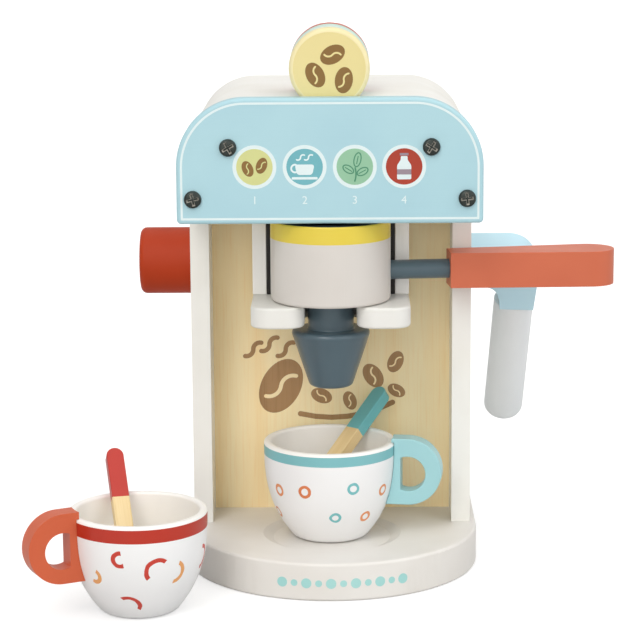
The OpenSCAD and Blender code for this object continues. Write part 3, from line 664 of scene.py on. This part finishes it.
def screw_head(shape, seat):
    """Domed head on the ground plane of its own frame, with a tapered cross driven into it."""
    before = set(shape.verts)
    bmesh.ops.create_grid(
        shape, x_segments=RECESS_CELLS, y_segments=RECESS_CELLS, size=RECESS_HALF * MM
    )
    verts = {v for v in shape.verts if v not in before}
    arm = RECESS_HALF / RECESS_CELLS * RECESS_ARM * MM
    cross = [
        f for f in shape.faces
        if f.verts[0] in verts and min(abs(c) for c in f.calc_center_median().xy) < arm
    ]
    for v in verts:
        reach = max(abs(v.co.x), abs(v.co.y)) / MM
        if reach:
            v.co *= 1 - reach / RECESS_HALF * (1 - reach * MM / v.co.length)
        v.co.z = (HEAD_H - HEAD_DOME * (v.co.xy.length / (HEAD_R * MM)) ** 2) * MM
    skirt = [e for e in shape.edges if e.is_boundary and e.verts[0] in verts]
    for share, drop in ((0.86, 0.3), (0.97, 0.9), (1.0, 1.5), (1.0, HEAD_H)):
        wall = bmesh.ops.extrude_edge_only(shape, edges=skirt)
        lower = new_verts(wall)
        for v in lower:
            v.co = (v.co.xy.normalized() * share * HEAD_R * MM).to_3d()
            v.co.z = (HEAD_H - drop) * MM
        edges = [e for e in wall["geom"] if isinstance(e, bmesh.types.BMEdge)]
        skirt = [e for e in edges if all(v in lower for v in e.verts)]
    deep = new_verts(bmesh.ops.extrude_face_region(shape, geom=cross))
    bmesh.ops.delete(
        shape, geom=[f for f in cross if f.is_valid], context="FACES_KEEP_BOUNDARY"
    )
    for face in {f for v in deep for f in v.link_faces if not all(v in deep for v in f.verts)}:
        face.material_index = 1
    for v in deep:
        size_x, size_y = abs(v.co.x), abs(v.co.y)
        v.co.x *= PIT_LONG if size_x > PIT_RATIO * size_y else PIT_ACROSS
        v.co.y *= PIT_LONG if size_y > PIT_RATIO * size_x else PIT_ACROSS
        v.co.z -= RECESS_DEPTH * MM
    fresh = [v for v in shape.verts if v not in before]
    turn = Matrix.Rotation(screw_turns.uniform(0, math.pi / 2), 4, "Z")
    bmesh.ops.transform(shape, matrix=seat @ turn, verts=fresh)


def screws(name, node, seats):
    """A group of screws; each seat is the frame of a head with Z out of the wood."""
    shape = bmesh.new()
    for seat in seats:
        screw_head(shape, seat)
    bmesh.ops.recalc_face_normals(shape, faces=shape.faces)
    made = piece(name, shape, "machine", [black_steel, worn_glint_steel], sharp=50)
    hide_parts(node)


screws(
    "fascia_screw_heads", "fascia_screws",
    [shifted(x, FASCIA_FRONT_Y, z) @ turned(90, "X") for x, z in HEAD_SCREWS],
)
screws(
    "rear_screw_heads", "rear_screws",
    [shifted(x, REAR_FACE_Y, z) @ turned(-90, "X") for x, z in HEAD_SCREWS + LOW_SCREWS],
)
screws(
    "base_screw_heads", "base_screws",
    [shifted(x, y, UNDER_SCREW_Z) @ turned(180, "X") for x, y in UNDER_SCREWS],
)

# ---- Filter holder ----
# Two hangers tenoned into the head floor carry a fork, whose slot takes the neck of the spout.
# A block between the hangers, hollowed to the round of the filter cup, is painted shadow black.

# Hangers get a brighter white as painted light against the shade on them; the fork gets a duller
# white as painted shade.
hanger_lit_white = painted("hanger_lit_white_paint", "#fbfaf7", "#f3f1ea")
fork_shade_white = painted("fork_shade_white_paint", "#e9e8e3", "#e0ded7", along="X")
# The saddle's black is painted shadow. It stands for the deep shade in the gaps beside the cup.
shadow_black = painted("shadow_black", "#1b1917", "#262220", rough=0.6, grain=0.8)
for node in ("left_hanger", "right_hanger"):
    eased(node, "machine", [hanger_lit_white], 0.5)
eased("holder_fork", "machine", [fork_shade_white], 1.3)
eased("holder_saddle", "machine", [shadow_black], 0.4)

# ---- Filter cup ----
# Beech drum turned on a lathe, sprayed a greyer white as painted shade from the head, with a yellow
# band round its upper rim.
# Its top and the well in it are painted a darker slate: the toy's slate plus painted shade from the
# gap under the head.

BREW_Y = -17
FILTER_R, FILTER_H, FILTER_Z = 28.2, 38, 132
BAND_Z, BAND_EDGE = 29.7, 0.55
WELL_R, WELL_DEPTH = 20, 8
LEVEL_SLIP, ROUND_SLIP = 2e-6, 5e-6


def lathe(outline, rings, steps=96):
    """Solid turned about the Z axis from an outline; a ring is a radius, a height and an easing."""
    shape = bmesh.new()
    verts = [shape.verts.new((r * MM, 0, z * MM)) for r, z in outline]
    edges = [shape.edges.new(pair) for pair in zip(verts, verts[1:])]
    bmesh.ops.spin(
        shape, geom=verts + edges, cent=(0, 0, 0), axis=(0, 0, 1), angle=math.tau, steps=steps,
        use_merge=True,
    )
    bmesh.ops.remove_doubles(shape, verts=shape.verts, dist=1e-6)
    bmesh.ops.recalc_face_normals(shape, faces=shape.faces)
    for radius, height, ease in rings:
        at = {
            v for v in shape.verts
            if abs(v.co.z - height * MM) < LEVEL_SLIP
            and abs(v.co.xy.length - radius * MM) < ROUND_SLIP
        }
        rounded(shape, [e for e in shape.edges if at.issuperset(e.verts)], ease, 5, "EDGES")
    return shape


# The drum's white is darker than the housing's: painted shade under the head's overhang.
drum_shade_white = painted("drum_shade_white_paint", "#d9d4ce", "#cfc8c1", rough=0.4, grain=0.4)
yellow_paint = painted("yellow_paint", "#e6cf4b", "#dcc23c", rough=0.38, grain=0.3, coat=0.15)
slate_paint = painted("slate_paint", "#4c606a", "#435660", rough=0.34, grain=0.35, coat=0.45)
# Darker slate for the top and well, partly painted shade under the head floor.
slate_shade_top = painted("slate_shade_paint_top", "#48545a", "#3f4a50", grain=0.35)
WELL_Z = FILTER_H - WELL_DEPTH
drum = lathe(
    [
        (0, 0), (FILTER_R, 0), (FILTER_R, BAND_Z), (FILTER_R, FILTER_H), (WELL_R, FILTER_H),
        (WELL_R, WELL_Z), (0, WELL_Z),
    ],
    [(FILTER_R, 0, 1.5), (FILTER_R, FILTER_H, 0.9), (WELL_R, FILTER_H, 0.8), (WELL_R, WELL_Z, 1.5)],
)
for face in drum.faces:
    middle = face.calc_center_median()
    if middle.z > BAND_Z * MM:
        outside = middle.xy.length > (FILTER_R - BAND_EDGE) * MM
        face.material_index = 1 if outside else 2
solid(
    "filter_drum", drum, shifted(0, BREW_Y, FILTER_Z), "filter",
    [drum_shade_white, yellow_paint, slate_shade_top], "filter_cup",
)

# ---- Spout ----
# Slate-blue cone turned in one piece with its neck, which slides into the fork, and a hidden pin
# that the filter cup turns on. Its glossy lacquer catches the light on the shoulder.

TIP_Z, SHOULDER_Z, FORK_TOP_Z = 90.2, 117.7, 131.7
TIP_R, SHOULDER_R, NECK_R, PIN_R, PIN_L = 10, 19.2, 10.9, 5, 8.3
cone_h, neck_h = SHOULDER_Z - TIP_Z, FORK_TOP_Z - TIP_Z
cone = lathe(
    [
        (0, 0), (TIP_R, 0), (SHOULDER_R, cone_h), (NECK_R, cone_h), (NECK_R, neck_h),
        (PIN_R, neck_h), (PIN_R, neck_h + PIN_L), (0, neck_h + PIN_L),
    ],
    [(TIP_R, 0, 1.7), (SHOULDER_R, cone_h, 2.8), (NECK_R, neck_h, 0.5), (NECK_R, cone_h, 0.8)],
)
cone_seat = shifted(0, BREW_Y, TIP_Z)
solid("spout_cone", cone, cone_seat, "spout_body", [slate_paint], "spout")

# ---- Handle ----
# Slate dowel glued into the filter cup, with a red paddle glued on its end.
# The paddle is sawn from a block, sanded round and sprayed.

HANDLE_TURN, ROD_R, ROD_Z = 6, 4.55, 145.1
ROD_START, ROD_END = 16.25, 68


def cylinder(radius, length, low_ease, high_ease, steps=96):
    """Turned solid with straight sides and two eased rims."""
    outline = [(0, 0), (radius, 0), (radius, length), (0, length)]
    return lathe(outline, [(radius, 0, low_ease), (radius, length, high_ease)], steps)


rod_seat = (
    shifted(0, BREW_Y, ROD_Z) @ turned(HANDLE_TURN, "Z") @ turned(90, "Y")
    @ shifted(0, 0, ROD_START)
)
dowel = cylinder(ROD_R, ROD_END - ROD_START, 0.4, 0.4, steps=48)
solid("handle_dowel", dowel, rod_seat, "filter", [slate_paint], "handle_rod")
red_paint = painted(
    "red_paint", "#cd6a49", "#c35f3f", rough=0.4, grain=0.5, along="X", coat=0.12
)
eased("handle_grip", "filter", [red_paint], 1.2)

# ---- Knob ----
# Red button turned from beech, with a well rounded outer rim, on a bare dowel that a collar holds
# inside the left panel.

KNOB_R, KNOB_L, KNOB_PLACE = 16.4, 27, (-67.3, 46, 140)
knob_paint = painted(
    "knob_paint", "#b43910", "#a6320b", rough=0.5, grain=0.5, along="X", shine=0.25
)
button = cylinder(KNOB_R, KNOB_L, 0.75, 3)
button_seat = shifted(*KNOB_PLACE) @ turned(-90, "Y")
solid("knob_button", button, button_seat, "knob_body", [knob_paint], "knob")
beech = wooden("bare_beech", "#dcc193", "#c5a36d", turn=GRAIN_TURNS["X"])
for node in (
    "knob_axle", "knob_collar", "wand_axle", "wand_collar", "left_spacer", "right_spacer",
):
    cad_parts[node].material_slots[0].material = beech

# ---- Steam wand ----
# Pale blue elbow cut from thick board, which turns on a bare dowel in the right panel, and a white
# dowel with a round tip glued into its leg.

elbow_paint = painted("elbow_paint", "#c2e4f0", "#b5d9e8", grain=0.5, coat=0.1)
rod_white = painted("wand_rod_paint", "#e8ebec", "#dee3e5", rough=0.4, grain=0.5)
eased("wand_elbow", "wand", [elbow_paint], 1.2)
eased("wand_rod", "wand", [rod_white], 0.3)

# ---- Cups ----
# Two bowls turned from beech with soft rims, sprayed white and banded below the rim.
# Small marks are stamped on them by hand: rings on one cup and open bows on the other.

CUP_R, CUP_H, FOOT_R, BOWL_POWER = 31.5, 47, 17, 2.9
CUP_WALL, CUP_FLOOR, CUP_SKIN = 3.6, 5, 1
BOWL_STEPS, LEAST_STEP, FLOOR_STEP = 24, 0.6, 0.5
CUP_BAND_TOP = 45.6
CUP_A, CUP_B = (-0.8, -13.5, 16), (-87.5, -78, 0)

# Stamp: a ring of ink about a point on a curved wall, open on the side that a direction points to
stamp, told, out = shader_group(
    "stamped_ring",
    [
        ("Vector", VECTOR), ("Centre", VECTOR), ("Radius", NUMBER), ("Half Width", NUMBER),
        ("Open", VECTOR), ("Reach", NUMBER),
    ],
    [("Mask", NUMBER)],
)
offset = place(
    stamp, "ShaderNodeVectorMath", {0: told["Vector"], 1: told["Centre"]}, operation="SUBTRACT"
).outputs[0]
span = place(stamp, "ShaderNodeVectorMath", {0: offset}, operation="LENGTH").outputs["Value"]
towards = place(
    stamp, "ShaderNodeVectorMath", {0: offset, 1: told["Open"]}, operation="DOT_PRODUCT"
).outputs["Value"]
waver = remap(stamp, noise(stamp, told["Vector"], 330, 0), 0.3, 0.7, -0.00012, 0.00012)
drawn = compute(stamp, "ADD", span, waver)
off_line = compute(stamp, "ABSOLUTE", compute(stamp, "SUBTRACT", drawn, told["Radius"]))
on_line = compute(stamp, "LESS_THAN", off_line, told["Half Width"])
kept = compute(stamp, "LESS_THAN", towards, told["Reach"])
feed(stamp, out, {"Mask": compute(stamp, "MULTIPLY", on_line, kept)})


def bowl_radius(height):
    """Outer radius of a cup at a height."""
    return FOOT_R + (CUP_R - FOOT_R) * (1 - (1 - height / CUP_H) ** BOWL_POWER)


def stamped(name, origin, inks, marks):
    """Cup paint with stamped marks: turn, height, radius, width, ink, and how each is open."""
    made = painted(name, "#f3f3f3", "#ebebeb", rough=0.36, grain=0.3, coat=0.15)
    tree = made.node_tree
    spot = tree.nodes["Texture Coordinate"].outputs["Object"]
    base_colour = tree.nodes["Principled BSDF"].inputs["Base Color"]
    colour = base_colour.links[0].from_socket
    for chart in inks:
        mask = None
        for turn, height, radius, width, ink, *opening in marks:
            if ink != chart:
                continue
            way = math.radians(turn)
            out_way = Vector((math.cos(way), math.sin(way), 0))
            side_way = Vector((-math.sin(way), math.cos(way), 0))
            centre = Vector(origin) + out_way * bowl_radius(height) + Vector((0, 0, height))
            open_way, reach = Vector(), 1.0
            if opening:
                heading, cut = math.radians(opening[0]), opening[1]
                open_way = side_way * math.cos(heading) + Vector((0, 0, math.sin(heading)))
                reach = cut * MM
            sources = {
                "Vector": spot, "Centre": centre * MM, "Radius": radius * MM,
                "Half Width": width / 2 * MM, "Open": open_way, "Reach": reach,
            }
            ring = place(tree, "ShaderNodeGroup", sources, node_tree=stamp).outputs[0]
            mask = ring if mask is None else compute(tree, "MAXIMUM", mask, ring)
        colour = blend(tree, mask, colour, linear(chart))
    tree.links.new(colour, base_colour)
    return made


cup_white = painted("cup_white_paint", "#faf8f4", "#f2efe9", rough=0.36, grain=0.3, coat=0.15)


def cup(name, origin, band_low, band_paint, wall_paint, body, node):
    """Turned cup with its painted band below the rim."""
    band = (band_low, CUP_BAND_TOP)
    heights = sorted({CUP_H * i / BOWL_STEPS for i in range(BOWL_STEPS)} | set(band))
    heights = [h for h in heights if h in band or min(abs(h - b) for b in band) > LEAST_STEP]
    outer = [(bowl_radius(h), h) for h in heights]
    inner = [(r - CUP_WALL, h) for r, h in outer if h > CUP_FLOOR + FLOOR_STEP]
    rim_r, low_r = CUP_R - CUP_WALL, bowl_radius(CUP_FLOOR) - CUP_WALL
    shape = lathe(
        [(0, 0)] + outer + [(CUP_R, CUP_H), (rim_r, CUP_H)] + inner[::-1]
        + [(low_r, CUP_FLOOR), (0, CUP_FLOOR)],
        [(FOOT_R, 0, 2.2), (CUP_R, CUP_H, 1.2), (rim_r, CUP_H, 1.2), (low_r, CUP_FLOOR, 1.2)],
    )
    for face in shape.faces:
        middle = face.calc_center_median()
        height = min(max(middle.z / MM, 0), CUP_H)
        if middle.xy.length < (bowl_radius(height) - CUP_SKIN) * MM or height > CUP_BAND_TOP:
            face.material_index = 2
        elif height > band_low:
            face.material_index = 1
    materials = [wall_paint, band_paint, cup_white]
    solid(name, shape, shifted(*origin), body, materials, node)


ORANGE, RED_ORANGE, TEAL = "#e2925c", "#dc7f4d", "#74bcc0"
rings = [
    (-142, 26.9, 2.4, 1.35, ORANGE), (-112.6, 28.3, 2.5, 1.45, RED_ORANGE),
    (-68.9, 29.9, 2.35, 1.35, TEAL), (-34, 26.3, 2.35, 1.3, ORANGE), (-158, 14, 2.4, 1.2, ORANGE),
    (-84.5, 15.4, 2.2, 1.3, TEAL), (-51, 14.4, 2.2, 1.3, ORANGE), (34, 27.5, 2.4, 1.3, TEAL),
    (66, 28.8, 2.35, 1.35, ORANGE), (101, 26.4, 2.4, 1.4, RED_ORANGE), (139, 28.6, 2.35, 1.3, TEAL),
    (172, 30, 2.35, 1.35, RED_ORANGE), (50, 14.2, 2.2, 1.3, ORANGE), (84, 13.2, 2.2, 1.3, TEAL),
    (122, 14.6, 2.2, 1.35, ORANGE),
]
ring_wall = stamped("cup_paint_with_rings", CUP_A, (ORANGE, RED_ORANGE, TEAL), rings)
teal_paint = painted("teal_paint", "#80bec3", "#76b5bb", rough=0.36, grain=0.3, coat=0.15)
cup("cup_a_bowl", CUP_A, 40.9, teal_paint, ring_wall, "cup_on_machine", "cup_a")

BRICK, AMBER = "#c83c2c", "#e6a261"
bows = [
    (-100.5, 32, 3.1, 2.0, BRICK, 10, 1.0), (-68.5, 26, 5.4, 2.0, BRICK, -45, -0.5),
    (-97, 8.6, 5.0, 1.9, BRICK, -130, -1.2), (-127, 22.5, 2.9, 1.9, AMBER, 150, 0.2),
    (-54, 24.5, 5.0, 1.9, AMBER, 165, -1.6), (-17, 27, 5.0, 1.8, BRICK, 180, 0),
    (4, 22, 4.8, 1.9, BRICK, 20, 0), (36, 31, 3.4, 1.8, AMBER, -60, 0.4),
    (58, 18, 5.2, 1.9, BRICK, 110, 0), (88, 30, 4.2, 1.9, BRICK, 200, 0.5),
    (104, 14, 3.4, 1.8, AMBER, 30, 0.3), (128, 27, 5, 1.9, BRICK, -30, 0),
    (158, 14, 4.4, 1.9, BRICK, 80, 0.4), (172, 31, 3.4, 1.8, AMBER, 180, 0.2),
]
bow_wall = stamped("cup_paint_with_bows", CUP_B, (BRICK, AMBER), bows)
band_red = painted("band_red_paint", "#ba2e18", "#af2712", rough=0.34, grain=0.3, coat=0.2)
cup("cup_b_bowl", CUP_B, 39.4, band_red, bow_wall, "loose_cup", "cup_b")

handle_teal = painted("handle_teal_paint", "#a0d0d5", "#95c8cf", rough=0.38, grain=0.4, coat=0.1)
handle_red = painted("handle_red_paint", "#ce5f39", "#c4542f", rough=0.38, grain=0.4, coat=0.1)
eased("cup_a_handle", "cup_on_machine", [handle_teal], 1.2)
eased("cup_b_handle", "loose_cup", [handle_red], 1.4)

# ---- Stirring sticks ----
# Bare beech laths with a round end; the upper third is dipped in paint and ends in a sharp line.

STICK_A_WAY = Vector((0.5274, 0.5940, 0.6074))
STICK_B_WAY = Vector((-0.1667, 0.6494, 0.7420))


def dipped(way, bare):
    """Returns the step that parts a stick at its paint line and paints what lies beyond."""

    def part(shape):
        line_at = min(v.co.dot(way) for v in shape.verts) + bare * MM
        bmesh.ops.bisect_plane(
            shape, geom=list(shape.verts) + list(shape.edges) + list(shape.faces),
            plane_co=way * line_at, plane_no=way,
        )
        for face in shape.faces:
            if face.calc_center_median().dot(way) > line_at:
                face.material_index = 1
    return part


for node, way, bare, tint, shade, body in (
    ("stick_a", STICK_A_WAY, 45, "#6bb8bd", "#61aeb5", "stick_in_cup_a"),
    ("stick_b", STICK_B_WAY, 47, "#b92f22", "#ae281c", "stick_in_cup_b"),
):
    lie = way.normalized().rotation_difference(Vector((0, 0, 1))).to_euler()
    lath = wooden(f"{node}_wood", "#edd5a4", "#dec086", turn=tuple(lie))
    dip = painted(f"{node}_paint", tint, shade, rough=0.36, grain=0.3, coat=0.15)
    eased(node, body, [lath, dip], 0.5, part=dipped(way, bare))

# ---- Drink tokens ----
# Four thick discs that stand in the slots of the top cover, one for each drink, turned with rounded
# rims. Each is sprayed in its own colour and printed with its drink on the face; the beans token's
# rim is paler, a painted highlight.

TOKEN_R, TOKEN_T, TOKEN_Z = 18.5, 10, 241.3
TOKEN_FRONT, TOKEN_PITCH = -34.7, 10.3
RIM_W = 2.2
# The beans token's rounded rim is painted a paler yellow than its face, a painted highlight along
# the lit edge.
rim_highlight_token = painted("rim_highlight_token_paint", "#f0e4b4", "#e9dba4", rough=0.4, grain=0.4)
# The cup and leaves tokens are pale tints: partly their own paint and partly painted highlight from
# their bright edges.
for order, (drink, body, slot, colour, shade) in enumerate((
    ("token_beans", "beans_token", "yellow_paint", "#e9da9b", "#e2d18c"),
    ("token_cup", "cup_token", "teal_paint", "#cfe6df", "#c2ddd6"),
    ("token_leaves", "leaves_token", "green_paint", "#c4e0d3", "#b6d6c8"),
    ("token_milk", "milk_token", "rust_paint", "#c05a42", "#b44e37"),
)):
    paint = painted(f"token_{slot}", colour, shade, rough=0.4, grain=0.5, along="X")
    disc = cylinder(TOKEN_R, TOKEN_T, 1.3, 1.9)
    art = bmesh.new()
    if drink == "token_beans":
        for face in disc.faces:
            if face.calc_center_median().xy.length > (TOKEN_R - RIM_W) * MM:
                face.material_index = 1
        for x, z, turn in ((1.5, 6.4, -62), (-6.4, -2.8, 28), (6.6, -5.2, -8)):
            bean(art, x, TOKEN_Z + z, 4.1, 6.0, turn, 0, 0, 1)
        inks = [bean_ink, paint]
    elif drink == "token_cup":
        small_cup(art, 0.6, TOKEN_Z, 2.2, 0, 0)
        inks = [sea_ink]
    elif drink == "token_leaves":
        sprig(art, 0, TOKEN_Z, 2.2, 0, 0, 1)
        inks = [vein_ink, leaf_ink]
    else:
        milk_bottle(art, 0, TOKEN_Z, 2.2, 0, 0, 1)
        inks = [white_ink, mauve_ink]
    front = TOKEN_FRONT + order * TOKEN_PITCH
    seat = shifted(0, front + TOKEN_T, TOKEN_Z) @ turned(90, "X")
    solid(drink + "_disc", disc, seat, body, [paint, rim_highlight_token], drink)
    printed(drink + "_print", art, front, body, inks)

bpy.context.scene.view_settings.view_transform = "Standard"
